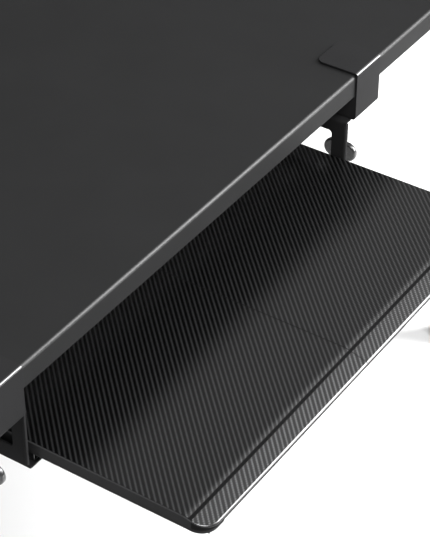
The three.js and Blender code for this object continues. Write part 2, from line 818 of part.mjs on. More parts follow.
const makeTrayHalf = ({ name, sign }) => {
  const half = tray.width / 2;
  const across = outward(sign, tray.seam / 2, half);
  const lip = behindFace(-tray.reach);
  const [low, high] = [Math.min(...across), Math.max(...across)];
  const { cornerRadius, rearCornerRadius } = tray;
  const corners = sign > 0
    ? [0.5, cornerRadius, rearCornerRadius, 0.5]
    : [cornerRadius, 0.5, 0.5, rearCornerRadius];
  const plan = roundedRectangle([low, high], [lip, lip + tray.depth], corners);
  const planPrism = raised(plan, trayUnder - OVERRUN, trayTop + OVERRUN);
  const board = carriedAlongX(boardProfile(), across).intersect(planPrism);
  const stripAcross = outward(sign, half - tray.runnerWidth, half + 5);
  const strip = raised(plan, trayUnder, boardUnder + 1).intersect(
    block(stripAcross, [lip - 5, lip + tray.depth + 5], [trayUnder - 1, boardUnder + 2]),
  );
  // The strip joins the board only where the board is flat underneath.
  const runner = strip.subtract(block(stripAcross, [lip - 5, lip + 2], [boardUnder - 0.01, boardUnder + 2]));
  const slideHoles = Object.values(innerSlideScrewOffsets).map((offset) =>
    rod(
      innerSlideScrew.radius + HOLE_CLEARANCE,
      sign * slide.centre,
      behindFace(offset),
      trayUnder - OVERRUN,
      trayUnder + innerSlideScrew.bite + 1,
      PILOT,
    ),
  );
  const joinHoles = joinPlate.offsets.map((offset) =>
    rod(
      joinScrew.radius + HOLE_CLEARANCE,
      sign * joinScrew.spacing,
      behindFace(offset + joinPlate.width / 2),
      boardUnder - OVERRUN,
      boardUnder + joinScrew.bite + 1,
      PILOT,
    ),
  );
  addPiece(`tray_${name}_half`, cut(join(board, runner), ...slideHoles, ...joinHoles), materials.trayBoard);
};

// Two flat bars under the seam hold the halves together.
const makeJoinPlates = () => {
  joinPlate.offsets.forEach((offset, index) => {
    const end = index === 0 ? 'front' : 'rear';
    const halfLength = joinPlate.length / 2;
    const level = boardUnder - GAP;
    const y = behindFace(offset + joinPlate.width / 2);
    const outline = roundedRectangle(
      [-halfLength, halfLength],
      [behindFace(offset), behindFace(offset + joinPlate.width)],
      evenCorners(joinPlate.cornerRadius),
    );
    const holes = sides.map(({ sign }) =>
      rod(
        joinScrew.radius + HOLE_CLEARANCE,
        sign * joinScrew.spacing,
        y,
        level - joinPlate.sheet - OVERRUN,
        level + OVERRUN,
        PILOT,
      ),
    );
    const plate = cut(raised(outline, level - joinPlate.sheet, level), ...holes);
    addPiece(`tray_join_plate_${end}`, plate, materials.frame);
    for (const { name, sign } of sides) {
      const x = sign * joinScrew.spacing;
      const headTop = level - joinPlate.sheet - GAP;
      const screw = join(
        rod(joinScrew.headRadius, x, y, headTop - joinScrew.headHeight, headTop, BORE),
        rod(joinScrew.radius, x, y, headTop - 1, boardUnder + joinScrew.bite, SHANK),
      );
      addPiece(`join_screw_${end}_${name}`, screw, materials.fastener);
    }
  });
};

sides.forEach(makeTrayHalf);
makeJoinPlates();

export default object;
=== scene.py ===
"""A computer desk with a clamp-on keyboard tray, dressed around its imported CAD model.

Sizes and places are millimetres in the row frame until add_piece() scales a mesh to metres.
+X is to the sitter's right, +Y is away from the sitter and +Z is up. Each piece is built as the
real one is made: plates are cut from an outline, folded sheets are bent from a flat blank, and
round parts are turned from a profile.
"""

import math

import bmesh
import bpy
from mathutils import Matrix, Vector


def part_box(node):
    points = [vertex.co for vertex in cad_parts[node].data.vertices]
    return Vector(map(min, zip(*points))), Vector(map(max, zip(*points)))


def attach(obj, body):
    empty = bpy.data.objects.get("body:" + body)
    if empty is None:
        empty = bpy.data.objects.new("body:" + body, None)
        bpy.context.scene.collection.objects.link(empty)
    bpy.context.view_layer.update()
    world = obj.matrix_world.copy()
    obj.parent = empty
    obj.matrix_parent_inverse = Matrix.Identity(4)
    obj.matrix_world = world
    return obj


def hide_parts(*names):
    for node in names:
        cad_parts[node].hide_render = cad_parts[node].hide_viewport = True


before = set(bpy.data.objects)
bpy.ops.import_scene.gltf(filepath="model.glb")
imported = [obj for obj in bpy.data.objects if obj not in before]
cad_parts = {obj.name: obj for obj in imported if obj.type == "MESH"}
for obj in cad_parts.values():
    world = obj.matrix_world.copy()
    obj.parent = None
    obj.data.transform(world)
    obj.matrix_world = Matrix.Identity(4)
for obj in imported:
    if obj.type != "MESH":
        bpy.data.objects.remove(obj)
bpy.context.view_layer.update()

MM = 0.001
SIDES = {"left": -1, "right": 1}
ENDS = ("front", "rear")


# ---------- Sizes ----------

HOLE_CLEARANCE = 0.3

# A lean is how far a face looks upwards, from 0 for upright to 1 for level.
DESK = {"corner": 6, "edge": 4.5, "lower_edge": 1.2, "lowest_lean": 0.1, "highest_lean": 0.97}
LEG = {"size": 40, "corner": 3, "cap": 2, "cap_bore": 4.3}
FOOT = {"height": 9.7, "stud_radius": 4, "pitch": 1.25}
WELD = {"proud": 1, "half_width": 1.3, "soft": 1.2}
RAIL = {"height": 25, "end_plate": 3}
TRAY = {"board": 13.5, "seam": 0.8, "corner": 22, "rear_corner": 6, "runner_width": 35}
WATERFALL = {"length": 37, "bend": 40, "angle": math.radians(15), "creases": 18, "lower_wall": 5}
CLAMP_X = 380
CLAMP = {
    "width": 60, "depth": 61.5, "sheet": 2.5, "top_bend": 3.5, "jaw_bend": 5, "corner": 11,
    "cheek_gap": 4, "cheek_corner": 9, "pad_corner": 6, "least_lean": 0.15,
}
CLAMP_SCREW = {
    "offset": 34.6, "radius": 4, "pitch": 1.25, "nut_radius": 7.5, "nut_height": 5, "nut_bore": 4.3,
}
KNOB = {
    "wing_radius": 14, "wing_spacing": 22, "thickness": 8, "level": 605, "hub_radius": 7,
    "hub_inset": 2.5, "hub_taper": 0.6, "blend": 5, "soft": 2.6, "screw_cover": 2,
}
ARM = {
    "inner": 340, "sheet": 3, "bend": 5, "front": 5, "rear": 315, "top_flange": 68,
    "bottom_flange": 49.5, "rear_height": 47, "shoulder": 112, "slope_end": 205,
}
ARM_LIP = {"bend": 2.0, "reach": 2.5, "creases": 5}
# Heights of the window are from the arm's underside.
ARM_WINDOW = {"front": 27, "rear": 134, "bottom": 25, "top": 69.5, "corner": 5}
ARM_BOLT = {"spacing": 17, "offset": 54, "radius": 3, "tip": 1.5}
SLIDE_X = 313
SLIDE_SHEET = 1.2
SLIDE_EDGES = (0.25, 0.25)
CAGE_SHEET = 0.8
SCREW_BORE = 2.2
OUTER_SCREW_OFFSETS = (40, 280)
INNER_SCREW_OFFSETS = (-190, 40)
JOIN_SCREW_SPACING = 70
OVERLAP = 0.1  # how far a thread or nut runs into the face it stands on


def box(node):
    """Lowest and highest corner of a CAD node at rest, in millimetres."""
    low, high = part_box(node)
    return low / MM, high / MM


def middle_of(low, high):
    """The X and Y of a box's axis."""
    return (low.x + high.x) / 2, (low.y + high.y) / 2


desk_low, desk_high = box("desktop")
tray_low, tray_high = box("tray_right_half")
arm_low, arm_high = box("right_arm")
FRONT_FACE = desk_low.y
DESK_UNDER = desk_low.z
TRAY_TOP = tray_high.z
BOARD_UNDER = TRAY_TOP - TRAY["board"]
SLIDE_BASE = box("right_slide_outer_member")[0].z


def behind(distance):
    """The Y coordinate of a distance behind the desk's front face."""
    return FRONT_FACE + distance


# ---------- Outlines ----------


def rotate(vector, angle):
    """A plane vector turned anticlockwise."""
    cosine, sine = math.cos(angle), math.sin(angle)
    return Vector((vector.x * cosine - vector.y * sine, vector.x * sine + vector.y * cosine))


def rounded(corners, steps=6, closed=True):
    """An outline's points from (x, y, radius) corners, each corner replaced by an arc."""
    points = []
    last = len(corners) - 1
    for index, (x, y, radius) in enumerate(corners):
        here = Vector((x, y))
        if radius == 0 or (not closed and index in (0, last)):
            points.append(here)
            continue
        back = (Vector(corners[index - 1][:2]) - here).normalized()
        ahead = (Vector(corners[(index + 1) % len(corners)][:2]) - here).normalized()
        half = back.angle(ahead) / 2
        centre = here + (back + ahead).normalized() * radius / math.sin(half)
        start = here + back * radius / math.tan(half) - centre
        end = here + ahead * radius / math.tan(half) - centre
        turn = math.atan2(start.x * end.y - start.y * end.x, start.dot(end))
        for step in range(steps + 1):
            points.append(centre + rotate(start, turn * step / steps))
    return points


def rectangle(x0, x1, y0, y1, radius, steps=6):
    """A rectangle with rounded corners. radius is one number, or four from low-left anticlockwise."""
    radii = [radius] * 4 if isinstance(radius, (int, float)) else radius
    places = [(x0, y0), (x1, y0), (x1, y1), (x0, y1)]
    return rounded([(x, y, r) for (x, y), r in zip(places, radii)], steps)


def circle(x, y, radius, sides=24):
    """A circle, or a polygon with few sides."""
    angles = [2 * math.pi * index / sides for index in range(sides)]
    return [Vector((x + radius * math.cos(a), y + radius * math.sin(a))) for a in angles]


def hexagon(x, y, radius, softness=0.6):
    """A hexagon with slightly rounded corners."""
    return rounded([(*point, softness) for point in circle(x, y, radius, 6)], 2)


def cross(size, arm):
    """The recess of a cross-head screw."""
    half, thin = size / 2, arm / 2
    quarter = [(half, -thin), (half, thin), (thin, thin)]
    points = []
    for turn in range(4):
        points += [rotate(Vector(point), turn * math.pi / 2) for point in quarter]
    return points


def hole(outline):
    """An outline as the edge of a hole: it runs the other way round."""
    return list(reversed(outline))


def strip_outline(centreline, sheet):
    """The outline of a sheet's cross-section along an open centreline."""
    sides = [[], []]
    for index, point in enumerate(centreline):
        before = centreline[max(index - 1, 0)]
        after = centreline[min(index + 1, len(centreline) - 1)]
        along = (after - before).normalized()
        across = Vector((along.y, -along.x)) * sheet / 2
        sides[0].append(point + across)
        sides[1].append(point - across)
    return sides[0] + sides[1][::-1]


def mirrored(half):
    """A centreline from its half on the +X side, starting at its free end."""
    return half + [(-x, y, radius) for x, y, radius in reversed(half)]


def normals_of(outline):
    """Mitred normals that point out of the material."""
    found = []
    for index, point in enumerate(outline):
        back = (point - outline[index - 1]).normalized()
        ahead = (outline[(index + 1) % len(outline)] - point).normalized()
        first = Vector((back.y, -back.x))
        second = Vector((ahead.y, -ahead.x))
        found.append((first + second) / max(1 + first.dot(second), 0.2))
    return found


# ---------- Ways to stand a piece up ----------


def flat(point):
    """Outline in XY, thickness along Z."""
    return point


def along_x(point):
    """Outline in YZ, thickness along X."""
    return Vector((point.z, point.x, point.y))


def along_y(point):
    """Outline in XZ, thickness along Y."""
    return Vector((point.x, point.z, point.y))


def standing(x, y, z, direction=1):
    """A local frame whose +Z is up or, with direction -1, down."""
    return lambda point: Vector((x + point.x, y + point.y * direction, z + point.z * direction))


def lying(x, y, z, direction):
    """A local frame whose +Z points along X in that direction."""
    return lambda point: Vector((x + point.z * direction, y + point.x, z + point.y))


def winged(x, y, z):
    """A local frame whose +X points up and whose +Z points along X."""
    return lambda point: Vector((x + point.z, y + point.y, z + point.x))


def channel(x):
    """A local frame of a slide: +X across it, +Y up from its base and +Z along it."""
    return lambda point: Vector((x + point.x, point.z, SLIDE_BASE + point.y))


# ---------- Solids ----------


def cap(bm, rings, extra=()):
    """Closes a plate's face, leaving its holes open."""
    if len(rings) == 1 and not extra:
        bm.faces.new(rings[0])
        return
    edges = []
    for ring in [*rings, *extra]:
        for index, vertex in enumerate(ring):
            edge = bm.edges.get((ring[index - 1], vertex))
            edges.append(edge or bm.edges.new((ring[index - 1], vertex)))
    bmesh.ops.triangle_fill(bm, use_beauty=True, use_dissolve=False, edges=edges)


def bridge(bm, lower, upper):
    """Quads between two rings with the same number of points."""
    for index in range(len(lower)):
        bm.faces.new((lower[index - 1], lower[index], upper[index], upper[index - 1]))


def plate(bm, outlines, low, high, soft=(0.4, 0.4), steps=3, place=flat, pocket=None):
    """A plate cut from its outline, with holes, softened edges and an optional blind pocket.

    soft is (lower radius, upper radius), or a function of the outline's normal that gives both.
    pocket is (outline, depth), sunk from the upper face.
    """
    radii = soft if callable(soft) else lambda normal: soft
    quarter = [math.pi / 2 * step / steps for step in range(steps + 1)]
    bottoms, tops = [], []
    for outline in outlines:
        normals = normals_of(outline)
        edges = [radii(normal) for normal in normals]
        rings = []
        for angle in quarter:
            rings.append([
                (r[0] * (1 - math.sin(angle)), low + r[0] * (1 - math.cos(angle))) for r in edges
            ])
        for angle in quarter:
            rings.append([
                (r[1] * (1 - math.cos(angle)), high - r[1] * (1 - math.sin(angle))) for r in edges
            ])
        made = []
        for ring in rings:
            made.append([
                bm.verts.new(place((point - normal * inset).to_3d() + Vector((0, 0, level))))
                for point, normal, (inset, level) in zip(outline, normals, ring)
            ])
        for lower, upper in zip(made, made[1:]):
            bridge(bm, lower, upper)
        bottoms.append(made[0])
        tops.append(made[-1])
    cap(bm, bottoms)
    if not pocket:
        cap(bm, tops)
        return
    rim, floor = [
        [bm.verts.new(place(point.to_3d() + Vector((0, 0, level)))) for point in pocket[0]]
        for level in (high, high - pocket[1])
    ]
    bridge(bm, floor, rim)
    bm.faces.new(floor)
    cap(bm, tops, [rim])


def turned(bm, profile, place, sides=32):
    """A solid turned from (radius, height) points that start and end on the axis."""
    rings = []
    for radius, height in profile:
        if radius < 1e-6:
            rings.append([bm.verts.new(place(Vector((0, 0, height))))])
        else:
            ring = circle(0, 0, radius, sides)
            rings.append([bm.verts.new(place(p.to_3d() + Vector((0, 0, height)))) for p in ring])
    for lower, upper in zip(rings, rings[1:]):
        if len(lower) == len(upper):
            bridge(bm, lower, upper)
            continue
        ring, tip = (lower, upper[0]) if len(upper) == 1 else (upper, lower[0])
        for index in range(len(ring)):
            bm.faces.new((ring[index - 1], ring[index], tip))


THREAD_DEPTH = 0.54  # share of the pitch


def thread(bm, radius, pitch, low, high, place, sides=20):
    """A threaded rod. Its rows of points climb round it, so that crest and root are a helix."""
    root = radius - THREAD_DEPTH * pitch
    rows = []
    turns = math.ceil((high - low) / pitch)
    shapes = [(0.0, root), (0.3, radius), (0.5, radius), (0.8, root)]
    for turn in range(-1, turns + 1):
        for share, size in shapes:
            row = []
            for index, point in enumerate(circle(0, 0, size, sides)):
                height = low + (turn + share + index / sides) * pitch
                row.append((point, min(max(height, low), high)))
            rows.append(row)
    made = [
        [bm.verts.new(place(point.to_3d() + Vector((0, 0, height)))) for point, height in row]
        for row in rows
    ]
    # Past the last point of a row the helix goes on in the row one turn later.
    ahead = len(shapes)
    for number in range(len(made) - 1):
        lower, upper = made[number], made[number + 1]
        for index in range(sides - 1):
            bm.faces.new((lower[index], lower[index + 1], upper[index + 1], upper[index]))
        if number + ahead + 1 < len(made):
            next_lower, next_upper = made[number + ahead], made[number + ahead + 1]
            bm.faces.new((lower[-1], next_lower[0], next_upper[0], upper[-1]))
    bmesh.ops.remove_doubles(bm, verts=bm.verts, dist=1e-4)


BEND_STEPS = 8


def folding(start, heading, runs):
    """How a blank folds: (length, turn in degrees, middle radius) runs from a start point.

    Gives a function from (distance along the blank, height off its middle) to the plane of the
    fold, and the distances at which the blank has to be creased.
    """
    stretches = []
    creases = []
    place, angle, travelled = Vector(start), math.radians(heading), 0.0
    for length, turn, radius in runs:
        stretches.append((travelled, place.copy(), angle, 0.0, 0.0))
        place = place + Vector((math.cos(angle), math.sin(angle))) * length
        travelled += length
        if turn:
            bend = math.radians(turn)
            arc = abs(bend) * radius
            creases += [travelled + arc * step / BEND_STEPS for step in range(BEND_STEPS + 1)]
            stretches.append((travelled, place.copy(), angle, bend, radius))
            left = Vector((-math.sin(angle), math.cos(angle))) * math.copysign(radius, bend)
            place = place + left - rotate(left, bend)
            angle += bend
            travelled += arc

    def folded(distance, height):
        begin, origin, direction, bend, radius = next(
            s for s in reversed(stretches) if s[0] <= distance + 1e-6 or s is stretches[0]
        )
        along = distance - begin
        if bend:
            turned_by = math.copysign(along / radius, bend)
            left = Vector((-math.sin(direction), math.cos(direction)))
            left *= math.copysign(radius, bend)
            spot = origin + left - rotate(left, turned_by)
            direction += turned_by
        else:
            spot = origin + Vector((math.cos(direction), math.sin(direction))) * along
        return spot + Vector((math.sin(direction), -math.cos(direction))) * height

    return folded, creases, travelled


def crease(bm, positions, axis):
    """Cuts every face at these positions along an axis, so that the sheet can bend there."""
    for position in positions:
        geometry = [*bm.verts, *bm.edges, *bm.faces]
        bmesh.ops.bisect_plane(
            bm, geom=geometry, dist=1e-5, plane_co=axis * position, plane_no=axis
        )


# ---------- Materials ----------


def node_of(tree, kind, **settings):
    """A shader node with its properties set."""
    made = tree.nodes.new(kind)
    for name, value in settings.items():
        setattr(made, name, value)
    return made


def wire(tree, node, socket, source):
    """Links an output into a node's input, or sets the input to a plain value."""
    if isinstance(source, bpy.types.NodeSocket):
        tree.links.new(source, node.inputs[socket])
    else:
        node.inputs[socket].default_value = source


def calculate(tree, operation, *sources):
    """A Math node's result."""
    made = node_of(tree, "ShaderNodeMath", operation=operation)
    for index, source in enumerate(sources):
        wire(tree, made, index, source)
    return made.outputs[0]


def between(tree, factor, low, high):
    """A number that runs from low to high as the factor runs from 0 to 1."""
    made = node_of(tree, "ShaderNodeMapRange")
    wire(tree, made, "Value", factor)
    wire(tree, made, "To Min", low)
    wire(tree, made, "To Max", high)
    return made.outputs["Result"]


def blend_colours(tree, factor, low, high):
    """A colour that runs from low to high as the factor runs from 0 to 1."""
    made = node_of(tree, "ShaderNodeMix", data_type="RGBA")
    wire(tree, made, "Factor", factor)
    made.inputs["A"].default_value = (*low, 1)
    made.inputs["B"].default_value = (*high, 1)
    return next(o for o in made.outputs if o.type == "RGBA")


def noise(tree, scale, detail, stretch=(1, 1, 1)):
    """Noise in the row frame; scale is in features per metre."""
    place = node_of(tree, "ShaderNodeTexCoord").outputs["Object"]
    if stretch != (1, 1, 1):
        mapping = node_of(tree, "ShaderNodeMapping")
        wire(tree, mapping, "Vector", place)
        mapping.inputs["Scale"].default_value = stretch
        place = mapping.outputs["Vector"]
    made = node_of(tree, "ShaderNodeTexNoise")
    wire(tree, made, "Vector", place)
    made.inputs["Scale"].default_value = scale
    made.inputs["Detail"].default_value = detail
    return made.outputs["Fac"]


def bumps(tree, height, distance):
    """A bump of that depth in metres."""
    made = node_of(tree, "ShaderNodeBump")
    wire(tree, made, "Height", height)
    made.inputs["Distance"].default_value = distance
    made.inputs["Strength"].default_value = 1.0
    return made.outputs["Normal"]


def new_material(name):
    """An empty node material and its shader."""
    made = bpy.data.materials.new(name)
    made.use_nodes = True
    return made, made.node_tree, made.node_tree.nodes["Principled BSDF"]


# Noise as (features per metre, detail).
MOTTLE = (14.0, 5.0)
SMUDGES = (45.0, 6.0)


def coated(
    name, colours, roughness, grain, specular=0.5, coat=0.0, metallic=0.0, stretch=(1, 1, 1)
):
    """Paint, plastic, rubber or metal: mottled colour, uneven gloss and a fine surface grain.

    colours and roughness are (lowest, highest), and grain is (features per metre, depth in metres).
    """
    made, tree, shader = new_material(name)
    cloud = noise(tree, *MOTTLE)
    fine = noise(tree, grain[0], 2.0, stretch)
    smudges = noise(tree, *SMUDGES)
    wire(tree, shader, "Base Color", blend_colours(tree, cloud, *colours))
    wire(tree, shader, "Roughness", between(tree, smudges, *roughness))
    wire(tree, shader, "Normal", bumps(tree, fine, grain[1]))
    shader.inputs["Metallic"].default_value = metallic
    shader.inputs["Specular IOR Level"].default_value = specular
    shader.inputs["Coat Weight"].default_value = coat
    shader.inputs["Coat Roughness"].default_value = 0.1
    return made


TOW = 2.03 * MM  # width of one fibre bundle in the weave
# The weave's colours run from the near-black film to a painted sheen on the lit crowns of the
# bundles.
WEAVE_DARK = (0.002, 0.002, 0.0022)
WEAVE_SHEEN = (0.104, 0.105, 0.107)
WEAVE_DEPTH = 0.06 * MM
REPEAT = 4.0  # bundles until the weave's pattern comes round again


def twill():
    """A pressed film with a 2/2 twill weave: each bundle passes over two and under two."""
    made, tree, shader = new_material("tray_weave")
    place = node_of(tree, "ShaderNodeTexCoord").outputs["Object"]
    split = node_of(tree, "ShaderNodeSeparateXYZ")
    wire(tree, split, "Vector", place)
    across = calculate(tree, "DIVIDE", split.outputs["X"], TOW)
    along = calculate(tree, "DIVIDE", split.outputs["Y"], TOW)
    column = calculate(tree, "FLOOR", across)
    row = calculate(tree, "FLOOR", along)
    step = calculate(tree, "FLOORED_MODULO", calculate(tree, "SUBTRACT", column, row), REPEAT)
    lengthwise = calculate(tree, "LESS_THAN", step, 1.5)

    def crown(position):
        centred = calculate(tree, "SUBTRACT", calculate(tree, "FRACT", position), 0.5)
        squared = calculate(tree, "MULTIPLY", centred, centred)
        return calculate(tree, "SUBTRACT", 1.0, calculate(tree, "MULTIPLY", squared, 3.2))

    def hump(position):
        return calculate(tree, "SINE", calculate(tree, "MULTIPLY", position, math.pi / 2))

    over = calculate(tree, "ADD", calculate(tree, "SUBTRACT", column, along), 1.0)
    warp_hump = hump(calculate(tree, "FLOORED_MODULO", over, REPEAT))
    under = calculate(tree, "SUBTRACT", calculate(tree, "SUBTRACT", across, row), 2.0)
    weft_hump = hump(calculate(tree, "FLOORED_MODULO", under, REPEAT))
    warp = calculate(tree, "MULTIPLY", crown(across), warp_hump)
    weft = calculate(tree, "MULTIPLY", crown(along), weft_hump)
    height = node_of(tree, "ShaderNodeMix", data_type="FLOAT")
    wire(tree, height, "Factor", lengthwise)
    wire(tree, height, "A", weft)
    wire(tree, height, "B", warp)
    relief = height.outputs["Result"]
    fibres = noise(tree, 900.0, 2.0, (1.0, 0.12, 1.0))
    # The colour paints sheen: each lengthwise bundle lights up along its crown and the crosswise
    # bundles stay near black, as the light catches the bundles by their direction.
    shade = calculate(tree, "MULTIPLY", relief, between(tree, fibres, 0.8, 1.0))
    painted_sheen = calculate(tree, "MULTIPLY", shade, between(tree, lengthwise, 1.0, 0.03))
    wire(tree, shader, "Base Color", blend_colours(tree, painted_sheen, WEAVE_DARK, WEAVE_SHEEN))
    wire(tree, shader, "Roughness", between(tree, lengthwise, 0.46, 0.52))
    wire(tree, shader, "Normal", bumps(tree, relief, WEAVE_DEPTH))
    shader.inputs["Metallic"].default_value = 1.0
    shader.inputs["Coat Weight"].default_value = 0.9
    shader.inputs["Coat Roughness"].default_value = 0.2
    return made


# What coated() makes of each finish.
FINISHES = {
    "desktop_laminate": {
        "colours": ((0.0135, 0.0136, 0.0138), (0.0160, 0.0161, 0.0164)),
        "roughness": (0.42, 0.50), "grain": (2600.0, 0.00003), "specular": 0.03,
    },
    "desktop_edge": {
        "colours": ((0.0105, 0.0106, 0.0108), (0.0150, 0.0151, 0.0154)),
        "roughness": (0.34, 0.44), "grain": (2600.0, 0.00003), "specular": 0.3,
    },
    "powder_coat": {
        "colours": ((0.010, 0.010, 0.011), (0.016, 0.016, 0.017)),
        "roughness": (0.5, 0.62), "grain": (1400.0, 0.00008),
    },
    "bracket_coat": {
        "colours": ((0.014, 0.014, 0.0144), (0.018, 0.018, 0.0185)),
        "roughness": (0.38, 0.46), "grain": (900.0, 0.00001), "specular": 0.015,
    },
    "bracket_edge": {
        "colours": ((0.012, 0.012, 0.0124), (0.018, 0.018, 0.0185)),
        "roughness": (0.16, 0.24), "grain": (900.0, 0.00001), "coat": 1.0,
    },
    "tray_edge": {
        "colours": ((0.014, 0.014, 0.0144), (0.024, 0.024, 0.0246)),
        "roughness": (0.34, 0.44), "grain": (1500.0, 0.00004), "specular": 0.04,
        "stretch": (1.0, 0.25, 0.25),
    },
    # Painted highlight: a lighter copy of the edge film for the light line along the sides' top
    # rounding.
    "tray_painted_highlight": {
        "colours": ((0.030, 0.030, 0.0306), (0.044, 0.044, 0.0448)),
        "roughness": (0.34, 0.44), "grain": (1500.0, 0.00002), "specular": 0.2,
    },
    # Painted shade: a near-black copy of the edge film for the band under the nose and a dark line
    # along the top of the sides' rounding.
    "tray_painted_shade": {
        "colours": ((0.003, 0.003, 0.0031), (0.006, 0.006, 0.0062)),
        "roughness": (0.4, 0.5), "grain": (1500.0, 0.00002), "specular": 0.03,
    },
    "tray_nose": {
        "colours": ((0.006, 0.006, 0.0065), (0.012, 0.012, 0.0126)),
        "roughness": (0.16, 0.24), "grain": (1300.0, 0.00001), "coat": 0.4,
        "stretch": (0.2, 1.0, 1.0),
    },
    "knob_plastic": {
        "colours": ((0.018, 0.018, 0.0185), (0.026, 0.026, 0.0266)),
        "roughness": (0.20, 0.28), "grain": (500.0, 0.00001), "coat": 0.3,
    },
    "rubber": {
        "colours": ((0.014, 0.014, 0.014), (0.024, 0.024, 0.024)),
        "roughness": (0.75, 0.9), "grain": (1200.0, 0.00006),
    },
    "slide_steel": {
        "colours": ((0.010, 0.010, 0.011), (0.018, 0.018, 0.019)),
        "roughness": (0.26, 0.38), "grain": (700.0, 0.00001), "specular": 0.4,
        "stretch": (1.0, 0.03, 1.0),
    },
    "cage_steel": {
        "colours": ((0.60, 0.60, 0.61), (0.70, 0.70, 0.71)),
        "roughness": (0.2, 0.3), "grain": (900.0, 0.000005), "metallic": 1.0,
    },
    "zinc_steel": {
        "colours": ((0.42, 0.43, 0.45), (0.58, 0.58, 0.58)),
        "roughness": (0.28, 0.42), "grain": (1100.0, 0.00001), "metallic": 1.0,
    },
}

MATERIALS = {name: coated(name, **finish) for name, finish in FINISHES.items()}
MATERIALS["tray_weave"] = twill()


# ---------- Pieces ----------

SHARP_ANGLE = math.radians(35)


def add_piece(name, bm, slot, body, *nodes, materials=None):
    """Turns a bmesh in millimetres into a piece that rides on a body and stands for CAD nodes."""
    bmesh.ops.remove_doubles(bm, verts=bm.verts, dist=1e-4)
    bmesh.ops.recalc_face_normals(bm, faces=bm.faces)
    bmesh.ops.scale(bm, verts=bm.verts, vec=(MM, MM, MM))
    mesh = bpy.data.meshes.new(name)
    bm.to_mesh(mesh)
    bm.free()
    for material in materials or [slot]:
        mesh.materials.append(MATERIALS[material])
    mesh.shade_smooth()
    mesh.set_sharp_from_angle(angle=SHARP_ANGLE)
    piece = bpy.data.objects.new(name, mesh)
    bpy.context.scene.collection.objects.link(piece)
    flat_faces = piece.modifiers.new("flat_faces", "WEIGHTED_NORMAL")
    flat_faces.keep_sharp = True
    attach(piece, body)
    if nodes:
        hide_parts(*nodes)


# ---------- Screws ----------

SCREWS = {
    "rail_bolt": {
        "outline": circle(0, 0, 7, 40), "height": 4.4, "crown": 2.8,
        "recess": (hexagon(0, 0, 3, 0.2), 2.6), "radius": 4, "pitch": 1.25, "sides": 20,
    },
    "desktop_screw": {
        "outline": circle(0, 0, 4.75, 28), "height": 3.2, "crown": 1.4,
        "recess": (cross(4.8, 1.2), 1.6), "radius": 2.4, "pitch": 1.8, "sides": 16,
    },
    "arm_bolt": {
        "outline": hexagon(0, 0, 5.7, 0.4), "height": 4, "crown": 0.6,
        "recess": None, "radius": ARM_BOLT["radius"], "pitch": 1.0, "sides": 18,
    },
    "outer_slide_screw": {
        "outline": circle(0, 0, 3.5, 24), "height": 1, "crown": 0.4,
        "recess": (cross(3.4, 0.9), 0.5), "radius": 2, "pitch": 0.7, "sides": 16,
    },
    "inner_slide_screw": {
        "outline": circle(0, 0, 3.5, 24), "height": 2, "crown": 1.0,
        "recess": (cross(3.6, 0.9), 1.0), "radius": 1.9, "pitch": 1.4, "sides": 16,
    },
    "join_screw": {
        "outline": circle(0, 0, 4, 28), "height": 2.2, "crown": 1.2,
        "recess": (cross(4.2, 1.0), 1.1), "radius": 2, "pitch": 1.5, "sides": 16,
    },
}
NUTS = {
    "clamp_screw": {
        "outline": hexagon(0, 0, CLAMP_SCREW["nut_radius"]),
        "bore": circle(0, 0, CLAMP_SCREW["nut_bore"]),
        "height": CLAMP_SCREW["nut_height"], "soft": (0.5, 0.8),
    },
    "arm_bolt": {
        "outline": hexagon(0, 0, 5.7, 0.4), "bore": circle(0, 0, 2.6, 18), "height": 5,
        "soft": (0.4, 0.6),
    },
    "outer_slide_screw": {
        "outline": hexagon(0, 0, 4, 0.3), "bore": circle(0, 0, 1.8, 16), "height": 3.2,
        "soft": (0.4, 0.3),
    },
}


def head(bm, kind, seat):
    """A screw's head standing on its seat, with a crowned rim and its recess."""
    screw = SCREWS[kind]
    plate(bm, [screw["outline"]], 0, screw["height"], (0.3, screw["crown"]), 4, seat, screw["recess"])


def shank(bm, kind, low, high, place):
    """A screw's thread between two heights of a local frame."""
    screw = SCREWS[kind]
    thread(bm, screw["radius"], screw["pitch"], low, high, place, screw["sides"])


def nut(bm, kind, place, low=0.0):
    """A nut standing at a height of a local frame."""
    made = NUTS[kind]
    outlines = [made["outline"], hole(made["bore"])]
    plate(bm, outlines, low, low + made["height"], made["soft"], 3, place)


def screw_from_below(name, kind, body):
    """A screw whose head hangs under what it holds, as a piece of its own."""
    low, high = box(name)
    x, y = middle_of(low, high)
    seat = low.z + SCREWS[kind]["height"]
    bm = bmesh.new()
    head(bm, kind, standing(x, y, seat, -1))
    shank(bm, kind, seat - OVERLAP, high.z, standing(x, y, 0))
    add_piece(f"{name}_steel", bm, "zinc_steel", body, name)


# ---------- Desk ----------


def make_desktop():
    bm = bmesh.new()
    outline = rectangle(desk_low.x, desk_high.x, desk_low.y, desk_high.y, DESK["corner"], 8)
    plate(bm, [outline], desk_low.z, desk_high.z, (DESK["lower_edge"], DESK["edge"]), 6)
    bm.normal_update()
    for face in bm.faces:
        if DESK["lowest_lean"] < face.normal.z < DESK["highest_lean"]:
            face.material_index = 1
    laminates = ["desktop_laminate", "desktop_edge"]
    add_piece("desktop_board", bm, "desktop_laminate", "desk", "desktop", materials=laminates)


